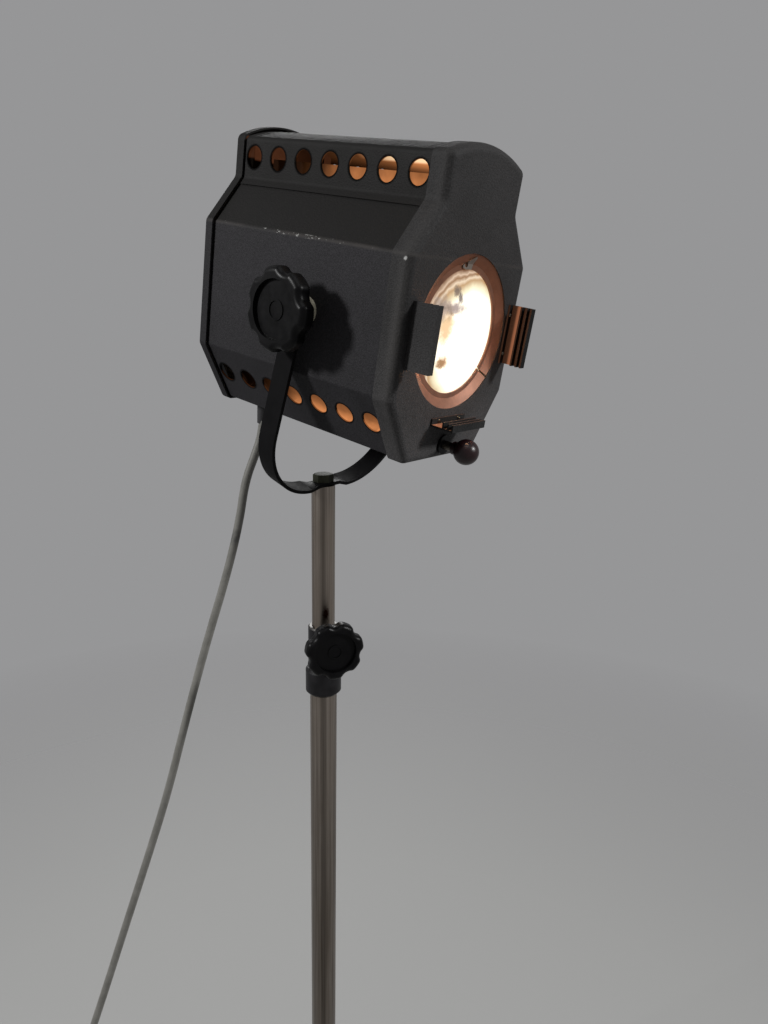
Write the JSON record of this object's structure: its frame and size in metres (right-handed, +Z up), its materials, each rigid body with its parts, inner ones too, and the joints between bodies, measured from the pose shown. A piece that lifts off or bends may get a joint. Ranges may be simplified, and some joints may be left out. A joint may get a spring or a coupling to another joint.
{
  "type": "tripod floor lamp",
  "caption": "Theatre spotlight with a vented octagonal casing and plano-convex lens, hung in a yoke on a telescopic tube stand with folding tripod legs, clamp knobs and a mains lead.",
  "frame": {"origin": "where the stand's axis meets the floor", "axes": "+Z up along the mast, the lamp faces -Y and its tilt axis runs along X"},
  "size_m": [0.8504, 0.8299, 1.6447],
  "materials": {
    "casing_paint": "satin",
    "yoke_paint": "satin",
    "inner_paint": "matt",
    "steel_tube": "brushed",
    "dark_steel": "satin",
    "copper_ring": "satin",
    "lens_glass": "gloss",
    "bulb_glass": "gloss",
    "mirror": "polished",
    "black_moulding": "gloss",
    "maroon_moulding": "gloss",
    "cream_spacer": "matt",
    "ceramic": "satin",
    "lead_cover": "matt",
    "plug_moulding": "satin",
    "foot_rubber": "matt",
    "brass_pin": "satin"
  },
  "bodies": {
    "stand": {"column_tube": "steel_tube", "column_end_cap": "foot_rubber", "clamp_collar": "steel_tube", "leg_hub": "dark_steel", "leg_pins": "dark_steel", "lead_to_floor": "lead_cover", "lead_coil": "lead_cover", "mains_plug": "plug_moulding", "plug_pins": "brass_pin"},
    "clamp": {"clamp_knob": "black_moulding", "clamp_screw": "dark_steel"},
    "mast": {"mast_tube": "steel_tube", "yoke_bolt": "dark_steel", "lead_at_mast": "lead_cover"},
    "yoke": {"yoke_strap": "yoke_paint", "lead_at_head": "lead_cover"},
    "head": {"body_shell": "casing_paint", "vent_hood": "casing_paint", "front_cap": "casing_paint", "rear_frame": "inner_paint", "light_traps": "inner_paint", "rear_hinge_leaf": "casing_paint", "rear_hinge_pin": "dark_steel", "lens_seat": "inner_paint", "lens": "lens_glass", "lens_ring": "copper_ring", "ring_clip": "dark_steel", "right_runner": "casing_paint", "left_runner": "casing_paint", "bottom_runner": "casing_paint", "runner_rivets": "dark_steel", "pivot_plates": "inner_paint", "pivot_spacers": "cream_spacer", "pivot_studs": "dark_steel", "far_lock_nut": "dark_steel", "rod_bush": "dark_steel", "rail_brackets": "inner_paint", "slide_rails": "steel_tube", "terminal_block": "ceramic", "cable_gland": "plug_moulding", "strain_relief": "foot_rubber"},
    "tilt_clamp": {"tilt_knob": "black_moulding", "tilt_washer": "dark_steel"},
    "cover": {"rear_cover": "casing_paint", "cover_hinge_leaf": "casing_paint"},
    "cover_screw": {"cover_thumbscrew": "dark_steel"},
    "focus": {"lamp_carriage": "inner_paint", "focus_rod": "dark_steel", "focus_ball": "maroon_moulding", "lamp_holder": "ceramic", "lamp_bulb": "bulb_glass", "reflector": "mirror", "reflector_stay": "inner_paint"},
    "leg_front": {"leg_1": "steel_tube", "leg_foot_1": "foot_rubber"},
    "leg_right": {"leg_2": "steel_tube", "leg_foot_2": "foot_rubber"},
    "leg_left": {"leg_3": "steel_tube", "leg_foot_3": "foot_rubber"}
  },
  "joints": [
    {"name": "mast_slide", "type": "slide", "parent": "stand", "child": "mast", "axis": [0, 0, 1], "range_m": [-0.13, 0.65]},
    {"name": "clamp_turn", "type": "hinge", "parent": "stand", "child": "clamp", "pos_m": [0, 0, 1.13], "axis": [-0.5, -0.866, 0], "continuous": true},
    {"name": "yoke_swivel", "type": "hinge", "parent": "mast", "child": "yoke", "pos_m": [0, 0, 1.3], "axis": [0, 0, 1], "range_deg": [-120, 120]},
    {"name": "head_tilt", "type": "hinge", "parent": "yoke", "child": "head", "pos_m": [0, -0.06, 1.475], "axis": [1, 0, 0], "range_deg": [-24, 55]},
    {"name": "tilt_clamp_turn", "type": "hinge", "parent": "head", "child": "tilt_clamp", "pos_m": [0, -0.06, 1.475], "axis": [-1, 0, 0], "continuous": true},
    {"name": "cover_hinge", "type": "hinge", "parent": "head", "child": "cover", "pos_m": [0.0883, 0.06738, 1.4954], "axis": [0, 0.1582, -0.9874], "range_deg": [0, 100]},
    {"name": "cover_screw_turn", "type": "hinge", "parent": "cover", "child": "cover_screw", "pos_m": [-0.062, 0.07923, 1.4973], "axis": [0, 0.9874, 0.1582], "continuous": true},
    {"name": "focus_slide", "type": "slide", "parent": "head", "child": "focus", "axis": [0, -0.9874, -0.1582], "range_m": [-0.007, 0.05]},
    {"name": "leg_front_fold", "type": "hinge", "parent": "stand", "child": "leg_front", "pos_m": [0, -0.037, 0.262], "axis": [1, 0, 0], "range_deg": [0, 55]},
    {"name": "leg_right_fold", "type": "hinge", "parent": "stand", "child": "leg_right", "pos_m": [0.03204, 0.0185, 0.262], "axis": [-0.5, 0.866, 0], "range_deg": [0, 55]},
    {"name": "leg_left_fold", "type": "hinge", "parent": "stand", "child": "leg_left", "pos_m": [-0.03204, 0.0185, 0.262], "axis": [-0.5, -0.866, 0], "range_deg": [0, 55]}
  ]
}
